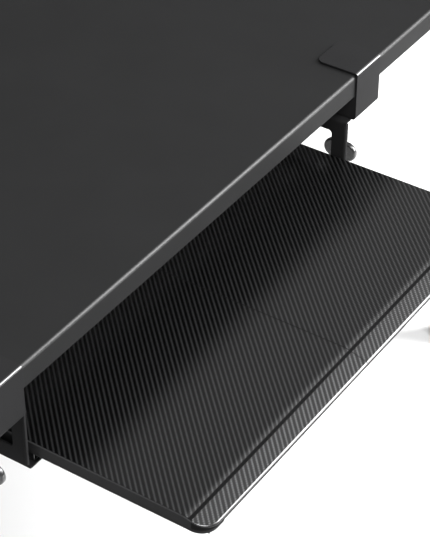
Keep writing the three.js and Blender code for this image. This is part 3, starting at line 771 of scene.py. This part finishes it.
def make_leg_frame(side):
    bm = bmesh.new()
    low, high = box(f"{side}_leg_frame")
    foot = low.z
    legs = [(low.y, low.y + LEG["size"]), (high.y - LEG["size"], high.y)]
    for y0, y1 in legs:
        outline = rectangle(low.x, high.x, y0, y1, LEG["corner"])
        plate(bm, [outline], foot + LEG["cap"], high.z, (0.4, 0.4))
    rail_low = high.z - RAIL["height"]
    cross_rail = rectangle(low.x + 0.5, high.x - 0.5, rail_low, high.z - 0.2, LEG["corner"] - 1)
    plate(bm, [cross_rail], legs[0][1] - 1, legs[1][0] + 1, (0.2, 0.2), place=along_y)
    soft = WELD["soft"]
    bead = rectangle(
        low.x + 0.1, high.x - 0.1, rail_low - WELD["proud"], high.z - soft - 0.2, LEG["corner"]
    )
    for y in (legs[0][1], legs[1][0]):
        span = (y - WELD["half_width"], y + WELD["half_width"])
        plate(bm, [bead], *span, (soft, soft), 4, along_y)
    add_piece(f"{side}_leg_tubes", bm, "powder_coat", "desk", f"{side}_leg_frame")

    caps = bmesh.new()
    for y0, y1 in legs:
        outline = rectangle(low.x, high.x, y0, y1, LEG["corner"] + 1)
        bore = hole(circle((low.x + high.x) / 2, (y0 + y1) / 2, LEG["cap_bore"], 20))
        plate(caps, [outline, bore], foot, foot + LEG["cap"] - 0.1, (0.8, 0.2))
    add_piece(f"{side}_leg_caps", caps, "rubber", "desk")


def make_rail(end):
    bm = bmesh.new()
    low, high = box(f"{end}_rail")
    inside = (low.x + RAIL["end_plate"], high.x - RAIL["end_plate"])
    tube = rectangle(low.y, high.y, low.z, high.z, 2.5)
    plate(bm, [tube], *inside, (0.3, 0.3), place=along_x)
    end_plate = rectangle(low.y, high.y, low.z, high.z, 1.5)
    for span in ((low.x, inside[0]), (inside[1], high.x)):
        plate(bm, [end_plate], *span, (0.4, 0.4), place=along_x)
    add_piece(f"{end}_rail_tube", bm, "powder_coat", "desk", f"{end}_rail")


def make_rail_bolt(end, side, sign):
    name = f"rail_bolt_{end}_{side}"
    low, high = box(name)
    outside = high.x if sign > 0 else low.x
    height = SCREWS["rail_bolt"]["height"]
    seat = lying(outside - sign * height, (low.y + high.y) / 2, (low.z + high.z) / 2, sign)
    bm = bmesh.new()
    head(bm, "rail_bolt", seat)
    shank(bm, "rail_bolt", height - (high.x - low.x), OVERLAP, seat)
    add_piece(f"{name}_steel", bm, "zinc_steel", "desk", name)


def make_desktop_screw(end, side):
    name = f"desktop_screw_{end}_{side}"
    low, high = box(name)
    height = SCREWS["desktop_screw"]["height"]
    seat = standing(*middle_of(low, high), low.z + height, -1)
    bm = bmesh.new()
    head(bm, "desktop_screw", seat)
    shank(bm, "desktop_screw", height - (high.z - low.z), OVERLAP, seat)
    add_piece(f"{name}_steel", bm, "zinc_steel", "desk", name)


def make_foot(end, side):
    name = f"levelling_foot_{end}_{side}"
    low, high = box(name)
    place = standing(*middle_of(low, high), 0)
    top = FOOT["height"]
    corners = [
        (0, 0, 0), (17, 0, 1.2), (18, 2, 0.8), (18, 4, 1.2), (11, 7.4, 2.0), (9.5, top, 0.5),
        (0, top, 0),
    ]
    bm = bmesh.new()
    turned(bm, rounded(corners, 4, False), place, 48)
    add_piece(f"{name}_pad", bm, "rubber", name, name)
    stud = bmesh.new()
    thread(stud, FOOT["stud_radius"], FOOT["pitch"], top - OVERLAP, high.z, place)
    add_piece(f"{name}_stud", stud, "zinc_steel", name)


# ---------- Clamps ----------


def make_clamp(side, sign):
    name = f"{side}_clamp"
    low, high = box(name)
    sheet = CLAMP["sheet"]
    outer = low.y
    half = sheet / 2
    rear = behind(CLAMP["depth"])
    top_middle = CLAMP["top_bend"] - half
    jaw_middle = CLAMP["jaw_bend"] - half
    runs = [
        (rear - outer - CLAMP["top_bend"], 90, top_middle),
        (high.z - CLAMP["top_bend"] - low.z - CLAMP["jaw_bend"], 90, jaw_middle),
        (rear - outer - CLAMP["jaw_bend"], 0, 0),
    ]
    folded, creases, length = folding((rear, high.z - half), 180, runs)
    width = CLAMP["width"] / 2
    on_jaw = length - CLAMP["depth"]
    blank = rectangle(0, length, -width, width, CLAMP["corner"], 10)
    screw_hole = circle(on_jaw + CLAMP_SCREW["offset"], 0, CLAMP_SCREW["radius"] + HOLE_CLEARANCE)
    holes = [hole(screw_hole)]
    for across in (-ARM_BOLT["spacing"], ARM_BOLT["spacing"]):
        bolt_hole = circle(on_jaw + ARM_BOLT["offset"], across, ARM_BOLT["radius"] + HOLE_CLEARANCE)
        holes.append(hole(bolt_hole))
    bm = bmesh.new()
    plate(bm, [blank, *holes], -half, half, (0.5, 0.5))
    crease(bm, creases, Vector((1, 0, 0)))
    for vertex in bm.verts:
        y, z = folded(vertex.co.x, vertex.co.z)
        vertex.co = (sign * (CLAMP_X + vertex.co.y), y, z)

    # The cheek that stiffens the jaw stands on the side next to the tray.
    jaw_top = low.z + sheet
    cheek_x = sorted((sign * (CLAMP_X - width), sign * (CLAMP_X - width + sheet)))
    cheek = rectangle(
        outer + half, rear - CLAMP["corner"], jaw_top - half, DESK_UNDER - CLAMP["cheek_gap"],
        [1, 1, CLAMP["cheek_corner"], 1],
    )
    plate(bm, [cheek], *cheek_x, (0.5, 0.5), place=along_x)
    seat = standing(sign * CLAMP_X, behind(CLAMP_SCREW["offset"]), jaw_top - OVERLAP)
    nut(bm, "clamp_screw", seat)
    bmesh.ops.recalc_face_normals(bm, faces=bm.faces)
    # The bend over the desktop's front edge is glossier than the flat sheet.
    for face in bm.faces:
        high_up = face.calc_center_median().z > DESK_UNDER
        if high_up and min(-face.normal.y, face.normal.z) > CLAMP["least_lean"]:
            face.material_index = 1
    coats = ["bracket_coat", "bracket_edge"]
    add_piece(f"{name}_sheet", bm, "bracket_coat", "desk", name, materials=coats)

    pad = bmesh.new()
    low, high = box(f"{name}_top_pad")
    outline = rectangle(low.x, high.x, low.y, high.y, CLAMP["pad_corner"])
    plate(pad, [outline], low.z, high.z, (0.2, 0.2))
    add_piece(f"{name}_top_pad_rubber", pad, "rubber", "desk", f"{name}_top_pad")


def knob_outline(sides=72):
    """The outline of a two-winged knob: both round wings and the hub run into each other."""
    spacing, blend = KNOB["wing_spacing"], KNOB["blend"]

    def distance(point):
        centres = [Vector((0, end * spacing / 2)) for end in (-1, 1)]
        wings = min((point - centre).length for centre in centres) - KNOB["wing_radius"]
        hub = point.length - KNOB["hub_radius"]
        share = max(blend - abs(wings - hub), 0) / blend
        return min(wings, hub) - share * share * blend / 4

    points = []
    for index in range(sides):
        angle = 2 * math.pi * index / sides
        direction = Vector((math.cos(angle), math.sin(angle)))
        reach = spacing + KNOB["wing_radius"]
        while distance(direction * reach) > 0.01:
            reach -= max(distance(direction * reach) * 0.5, 0.01)
        points.append(direction * reach)
    return points


def make_knob(side, x, y):
    """Builds the knob and gives the height of its top."""
    low, high = box(f"{side}_wing_knob")
    half = KNOB["thickness"] / 2
    bm = bmesh.new()
    wings = winged(x, y, KNOB["level"])
    plate(bm, [knob_outline()], -half, half, (KNOB["soft"], KNOB["soft"]), 6, wings)
    foot, radius = low.z + KNOB["hub_inset"], KNOB["hub_radius"]
    narrow = radius - KNOB["hub_taper"]
    hub = [(0, foot, 0), (narrow, foot, 1), (radius, high.z, 1.4), (0, high.z, 0)]
    turned(bm, rounded(hub, 5, False), standing(x, y, 0), 40)
    body = f"{side}_clamp_screw"
    add_piece(f"{side}_wing_knob_moulding", bm, "knob_plastic", body, f"{side}_wing_knob")
    return high.z


def make_clamp_screw(side, sign):
    x, y = sign * CLAMP_X, behind(CLAMP_SCREW["offset"])
    knob_top = make_knob(side, x, y)
    place = standing(x, y, 0)
    name = f"{side}_clamp_screw"
    span = (knob_top - KNOB["screw_cover"], box(name)[1].z)
    bm = bmesh.new()
    thread(bm, CLAMP_SCREW["radius"], CLAMP_SCREW["pitch"], *span, place, 24)
    add_piece(f"{name}_thread", bm, "zinc_steel", name, name)

    name = f"{side}_pressure_pad"
    low, high = box(name)
    cup = low.z + 2.9
    corners = [
        (0, cup, 0), (4.3, cup, 0.2), (4.3, low.z, 0.3), (10, low.z, 0.8), (13, low.z + 3, 1.0),
        (13, high.z, 0.4), (0, high.z, 0),
    ]
    bm = bmesh.new()
    turned(bm, rounded(corners, 3, False), place, 40)
    add_piece(f"{name}_rubber", bm, "rubber", f"{side}_clamp_pad", name)


# ---------- Arms ----------


def make_arm(side, sign):
    name = f"{side}_arm"
    sheet, half, bend = ARM["sheet"], ARM["sheet"] / 2, ARM["bend"]
    middle = bend - half
    low, high = arm_low.z, arm_high.z
    start = ARM["inner"] + sheet - ARM["bottom_flange"]
    runs = [
        (ARM["inner"] + sheet - bend - start, 90, middle),
        (high - low - 2 * bend, -90, middle),
        (ARM["top_flange"] - bend, 0, 0),
    ]
    folded, creases, length = folding((start, low + half), 0, runs)
    web_start = runs[0][0] + middle * math.pi / 2
    web_end = web_start + runs[1][0]
    top_start = web_end + middle * math.pi / 2

    def on_web(level):
        return web_start + level - (low + bend)

    def on_top(x):
        return top_start + x - (ARM["inner"] + bend)

    # The lip down the front edge is a second fold of the web, free of both flanges.
    lip_bend, lip_reach = ARM_LIP["bend"], ARM_LIP["reach"]
    lip_start = ARM["front"] + half + lip_bend
    lip_end = lip_start - lip_bend * math.pi / 2 - lip_reach
    front, rear, relief = ARM["front"], ARM["rear"], lip_start + 0.5
    rear_edge = on_web(low + ARM["rear_height"])
    corners = [
        (0, front, 2), (web_start - 1, front, 0.3), (web_start - 1, relief, 0.5),
        (web_start + 1.5, relief, 0.5), (web_start + 1.5, lip_start - 1, 0.3),
        (web_start + 5.0, lip_end, 0.8), (web_end - 0.4, lip_end, 0.2),
        (web_end - 0.4, relief, 0.1), (web_end, relief, 0.1), (web_end, front, 0.1),
        (length, front, 3), (length, CLAMP["depth"], 6), (web_end + 0.5, CLAMP["depth"], 2),
        (web_end + 0.5, ARM["shoulder"], 5), (rear_edge, ARM["slope_end"], 12),
        (rear_edge, rear, 5), (0, rear, 5),
    ]
    window = rectangle(
        on_web(low + ARM_WINDOW["bottom"]), on_web(low + ARM_WINDOW["top"]), ARM_WINDOW["front"],
        ARM_WINDOW["rear"], ARM_WINDOW["corner"],
    )
    screw_bore = CLAMP_SCREW["radius"] + 2 * HOLE_CLEARANCE
    holes = [window, circle(on_top(CLAMP_X), CLAMP_SCREW["offset"], screw_bore)]
    for across in (-ARM_BOLT["spacing"], ARM_BOLT["spacing"]):
        bolt_bore = ARM_BOLT["radius"] + HOLE_CLEARANCE
        holes.append(circle(on_top(CLAMP_X + across), ARM_BOLT["offset"], bolt_bore))
    for offset in OUTER_SCREW_OFFSETS:
        holes.append(circle(SLIDE_X - start, offset, 2.3, 16))
    bm = bmesh.new()
    plate(bm, [rounded(corners), *[hole(h) for h in holes]], -half, half, (0.6, 0.6))
    crease(bm, creases, Vector((1, 0, 0)))
    arc = lip_bend * math.pi / 2
    steps = ARM_LIP["creases"]
    crease(bm, [lip_start - arc * step / steps for step in range(steps + 1)], Vector((0, 1, 0)))
    for vertex in bm.verts:
        distance, offset, height = vertex.co
        if web_start < distance < web_end - 0.2 and offset < lip_start:
            past = lip_start - offset
            turn = min(past, arc) / lip_bend
            straight = max(past - arc, 0)
            reach = lip_bend - height
            offset = lip_start - reach * math.sin(turn)
            height = lip_bend - reach * math.cos(turn) + straight
        x, z = folded(distance, height)
        vertex.co = (sign * x, behind(offset), z)
    add_piece(f"{name}_sheet", bm, "bracket_coat", "desk", name)


def make_arm_bolt(side, place_name):
    name = f"{side}_arm_bolt_{place_name}"
    low, high = box(name)
    x, y = middle_of(low, high)
    seat = low.z + SCREWS["arm_bolt"]["height"]
    upright = standing(x, y, 0)
    bm = bmesh.new()
    head(bm, "arm_bolt", standing(x, y, seat, -1))
    shank(bm, "arm_bolt", seat - OVERLAP, high.z, upright)
    nut(bm, "arm_bolt", upright, high.z - ARM_BOLT["tip"] - NUTS["arm_bolt"]["height"])
    add_piece(f"{name}_steel", bm, "zinc_steel", "desk", name)


# ---------- Ball slides ----------

# Each channel's middle line on its +X side, as (across, up, radius) from its free end.
RACE = {
    "outer": [(15.1, 10.2, 0), (16.9, 10.2, 1.0), (16.9, 0.6, 2.0)],
    "middle": [(11.0, 9.8, 0), (11.0, 3.3, 1.8)],
    "outer_cage": [(13.95, 9.0, 0), (13.95, 1.95, 0.8)],
    "inner_cage": [(8.2, 9.6, 0), (8.2, 4.65, 0.8)],
}
INNER_WALL = [(5.4, 5.4, 0), (5.4, 8.0, 1.5), (5.9, 13.4, 0)]
BALL_LEVEL = 6.2
BALL_RADIUS = {"outer": 2.0, "inner": 1.85}
BALLS_PER_SIDE = 9


def race(bm, name, sheet, x, span):
    """A rolled channel along Y, from half of its middle line."""
    outline = strip_outline(rounded(mirrored(RACE[name]), 5, False), sheet)
    plate(bm, [outline], *span, SLIDE_EDGES, 2, channel(x))


def make_slide_members(side, x):
    for part, body in (("outer", "desk"), ("middle", f"{side}_slide_middle")):
        name = f"{side}_slide_{part}_member"
        low, high = box(name)
        bm = bmesh.new()
        race(bm, part, SLIDE_SHEET, x, (low.y, high.y))
        add_piece(f"{name}_steel", bm, "slide_steel", body, name)

    name = f"{side}_slide_inner_member"
    low, high = box(name)
    bm = bmesh.new()
    holes = [hole(circle(x, behind(offset), SCREW_BORE, 16)) for offset in INNER_SCREW_OFFSETS]
    web = rectangle(low.x, high.x, low.y, high.y, 2.5)
    plate(bm, [web, *holes], high.z - SLIDE_SHEET, high.z, SLIDE_EDGES, 2)
    for wall in (-1, 1):
        centreline = [(wall * across, up, radius) for across, up, radius in INNER_WALL]
        outline = strip_outline(rounded(centreline, 4, False), SLIDE_SHEET)
        plate(bm, [outline], low.y, high.y, SLIDE_EDGES, 2, channel(x))
    add_piece(f"{name}_steel", bm, "slide_steel", "tray", name)


def make_ball_cage(side, cage, x):
    name = f"{side}_{cage}_ball_cage"
    low, high = box(name)
    bm = bmesh.new()
    race(bm, f"{cage}_cage", CAGE_SHEET, x, (low.y, high.y))
    across = RACE[f"{cage}_cage"][0][0]
    pitch = (high.y - low.y) / BALLS_PER_SIDE
    for index in range(BALLS_PER_SIDE):
        for wall in (-across, across):
            spot = Vector((x + wall, low.y + pitch * (index + 0.5), SLIDE_BASE + BALL_LEVEL))
            bmesh.ops.create_icosphere(
                bm, subdivisions=3, radius=BALL_RADIUS[cage], matrix=Matrix.Translation(spot)
            )
    add_piece(f"{name}_strip", bm, "cage_steel", f"{side}_{cage}_balls", name)


def make_outer_slide_screw(side, end):
    name = f"{side}_outer_slide_screw_{end}"
    low, high = box(name)
    x, y = middle_of(low, high)
    seat = high.z - SCREWS["outer_slide_screw"]["height"]
    upright = standing(x, y, 0)
    bm = bmesh.new()
    head(bm, "outer_slide_screw", standing(x, y, seat))
    shank(bm, "outer_slide_screw", low.z, seat + OVERLAP, upright)
    nut(bm, "outer_slide_screw", upright, low.z + 1)
    add_piece(f"{name}_steel", bm, "zinc_steel", "desk", name)


def make_slide(side, sign):
    x = sign * SLIDE_X
    make_slide_members(side, x)
    for cage in BALL_RADIUS:
        make_ball_cage(side, cage, x)
    for end in ENDS:
        make_outer_slide_screw(side, end)
        screw_from_below(f"{side}_inner_slide_screw_{end}", "inner_slide_screw", "tray")


# ---------- Tray ----------


def waterfall_drop(y):
    """How far the board's top falls away at a place towards its lip."""
    inside = tray_low.y + WATERFALL["length"] - y
    if inside <= 0:
        return 0.0
    bend, angle = WATERFALL["bend"], WATERFALL["angle"]
    if inside < bend * math.sin(angle):
        return bend - math.sqrt(bend * bend - inside * inside)
    return bend * (1 - math.cos(angle)) + (inside - bend * math.sin(angle)) * math.tan(angle)


# Radii of the board's (lower, upper) edge along its sides and along its nose.
SIDE_EDGES = (0.7, 2.0)
NOSE_EDGES = (1.0, 2.8)


def board_edges(normal):
    """(lower, upper) edge radius: a full nose along the front, running out round the corners."""
    front = min(max(-normal.y, 0.0), 1.0)
    share = front * front * (3 - 2 * front)
    return tuple(side + (nose - side) * share for side, nose in zip(SIDE_EDGES, NOSE_EDGES))


# The board's materials, and which of them a face carries: (lowest upward lean, material) from the top
# down. Material 3 is painted shade: a dark line along the top of the sides' rounding and a near-black
# band under the nose.
BOARD_MATERIALS = ["tray_weave", "tray_edge", "tray_nose", "tray_painted_shade", "tray_painted_highlight"]
# Material 4, on the sides between leans 0.30 and 0.80, is a painted highlight line along the
# rounding.
SIDE_BANDS = ((0.97, 0), (0.80, 3), (0.30, 4), (-2, 1))
FRONT_BANDS = ((0.86, 0), (0.30, 2), (-2, 3))


def make_board(side, sign):
    """One half of the tray's board."""
    bm = bmesh.new()
    half = tray_high.x
    low_y, high_y = tray_low.y, tray_high.y
    radii = [TRAY["corner"], TRAY["corner"], TRAY["rear_corner"], TRAY["rear_corner"]]
    outline = rectangle(-half, half, low_y, high_y, radii, 16)
    plate(bm, [outline], BOARD_UNDER, TRAY_TOP, board_edges, 6)
    length, steps = WATERFALL["length"], WATERFALL["creases"]
    crease(bm, [low_y + length * step / steps for step in range(1, steps + 1)], Vector((0, 1, 0)))
    wall = BOARD_UNDER + WATERFALL["lower_wall"]
    for vertex in bm.verts:
        if vertex.co.z > wall:
            vertex.co.z -= waterfall_drop(vertex.co.y)

    # The two halves are the same board sawn through at the seam.
    cut_at = sign * TRAY["seam"] / 2
    bmesh.ops.bisect_plane(
        bm, geom=[*bm.verts, *bm.edges, *bm.faces], dist=1e-5, clear_inner=True,
        plane_co=(cut_at, 0, 0), plane_no=(sign, 0, 0),
    )
    rim = [edge for edge in bm.edges if edge.is_boundary]
    bmesh.ops.contextual_create(bm, geom=rim)
    sawn = [edge for edge in bm.edges if all(abs(v.co.x - cut_at) < 1e-3 for v in edge.verts)]
    bmesh.ops.bevel(
        bm, geom=sawn, offset=0.35, segments=2, profile=0.5, affect="EDGES", clamp_overlap=True
    )
    for vertex in bm.verts:
        vertex.co.y = max(vertex.co.y, low_y)
    bmesh.ops.recalc_face_normals(bm, faces=bm.faces)
    for face in bm.faces:
        centre = face.calc_center_median()
        beside = centre.y > low_y + TRAY["corner"]
        bands = SIDE_BANDS if beside else FRONT_BANDS
        face.material_index = next(index for level, index in bands if face.normal.z > level)
    name = f"tray_{side}_half"
    add_piece(f"tray_{side}_board", bm, "tray_weave", "tray", name, materials=BOARD_MATERIALS)


def make_runner(side, sign):
    """The strip under one side of the tray, which follows the board's outline a little inside it."""
    low_y, high_y = tray_low.y, tray_high.y
    bm = bmesh.new()
    inner, outer = tray_high.x - TRAY["runner_width"], tray_high.x - 0.4
    corners = [
        (inner, low_y + 1.5, 2), (outer, low_y + 1.5, 21), (outer, high_y - 0.4, 5.5),
        (inner, high_y - 0.4, 2),
    ]
    runner = rounded(corners, 16)
    if sign < 0:
        runner = [Vector((-point.x, point.y)) for point in reversed(runner)]
    x = sign * SLIDE_X
    holes = [hole(circle(x, behind(offset), SCREW_BORE, 16)) for offset in INNER_SCREW_OFFSETS]
    plate(bm, [runner, *holes], tray_low.z, BOARD_UNDER - 0.05, (1.2, 0.8), 4)
    add_piece(f"tray_{side}_runner", bm, "tray_weave", "tray", materials=["tray_edge"])


def make_join_plate(end):
    name = f"tray_join_plate_{end}"
    low, high = box(name)
    bm = bmesh.new()
    middle = (low.y + high.y) / 2
    holes = [hole(circle(sign * JOIN_SCREW_SPACING, middle, 2.3, 16)) for sign in (-1, 1)]
    outline = rectangle(low.x, high.x, low.y, high.y, 5)
    plate(bm, [outline, *holes], low.z, high.z, (0.5, 0.4))
    add_piece(f"{name}_steel", bm, "powder_coat", "tray", name)
    for side in SIDES:
        screw_from_below(f"join_screw_{end}_{side}", "join_screw", "tray")


make_desktop()
for end in ENDS:
    make_rail(end)
    make_join_plate(end)
for side, sign in SIDES.items():
    make_leg_frame(side)
    for end in ENDS:
        make_rail_bolt(end, side, sign)
        make_desktop_screw(end, side)
        make_foot(end, side)
    make_clamp(side, sign)
    make_clamp_screw(side, sign)
    make_arm(side, sign)
    for place_name in ("inner", "outer"):
        make_arm_bolt(side, place_name)
    make_slide(side, sign)
    make_board(side, sign)
    make_runner(side, sign)


# ---------- Stage, light and camera ----------

# The lengths of this section are metres, apart from the camera's lens and sensor in millimetres.
FLOOR_REACH = 30.0
WORLD_STRENGTH = 0.45
LIT_POINT = (0.0, -0.3, 0.65)
LIGHT_DISTANCE = 3.2
# Each softbox is (direction from the lit point, (width, height), watts).
SOFTBOXES = {
    "key": ((0.66, -0.61, 0.44), (1.6, 2.8), 300),
    "top": ((-0.25, -0.5, 0.83), (2.0, 1.6), 140),
    "overhead": ((0.63, 0.0, 0.777), (0.9, 1.8), 6),
}
CAMERA = {
    "lens": 128.85, "sensor": 36.0, "place": (-1.5216, -1.2232, 2.0896),
    "right": (0.55847, -0.82954, 0.0), "up": (0.50900, 0.34267, 0.78963),
}


def make_floor():
    mesh = bpy.data.meshes.new("floor")
    reach = FLOOR_REACH
    corners = [(-reach, -reach, 0), (reach, -reach, 0), (reach, reach, 0), (-reach, reach, 0)]
    mesh.from_pydata(corners, [], [(0, 1, 2, 3)])
    made, tree, shader = new_material("floor")
    pale = blend_colours(tree, noise(tree, 1.5, 3.0), (0.80, 0.80, 0.80), (0.82, 0.82, 0.82))
    wire(tree, shader, "Base Color", pale)
    shader.inputs["Roughness"].default_value = 0.8
    shader.inputs["Specular IOR Level"].default_value = 0.2
    mesh.materials.append(made)
    floor = bpy.data.objects.new("floor", mesh)
    bpy.context.scene.collection.objects.link(floor)


def make_world():
    world = bpy.data.worlds.new("studio")
    world.use_nodes = True
    background = world.node_tree.nodes["Background"]
    background.inputs["Color"].default_value = (1.0, 1.0, 1.0, 1.0)
    background.inputs["Strength"].default_value = WORLD_STRENGTH
    bpy.context.scene.world = world
    bpy.context.scene.view_settings.view_transform = "Standard"


def softbox(name, direction, size, power):
    """A rectangular area light that faces the lit point from a direction."""
    light = bpy.data.lights.new(name, "AREA")
    light.shape = "RECTANGLE"
    light.size, light.size_y = size
    light.energy = power
    made = bpy.data.objects.new(name, light)
    away = Vector(direction).normalized()
    made.location = Vector(LIT_POINT) + away * LIGHT_DISTANCE
    made.rotation_euler = away.to_track_quat("Z", "Y").to_euler()
    made.visible_camera = False
    bpy.context.scene.collection.objects.link(made)


def make_camera():
    data = bpy.data.cameras.new("camera")
    data.lens = CAMERA["lens"]
    data.sensor_width = CAMERA["sensor"]
    camera = bpy.data.objects.new("camera", data)
    right, up = Vector(CAMERA["right"]), Vector(CAMERA["up"])
    turn = Matrix((right, up, right.cross(up))).transposed().to_4x4()
    camera.matrix_world = Matrix.Translation(CAMERA["place"]) @ turn
    bpy.context.scene.collection.objects.link(camera)
    bpy.context.scene.camera = camera


make_floor()
make_world()
for name, (direction, size, power) in SOFTBOXES.items():
    softbox(name, direction, size, power)
make_camera()
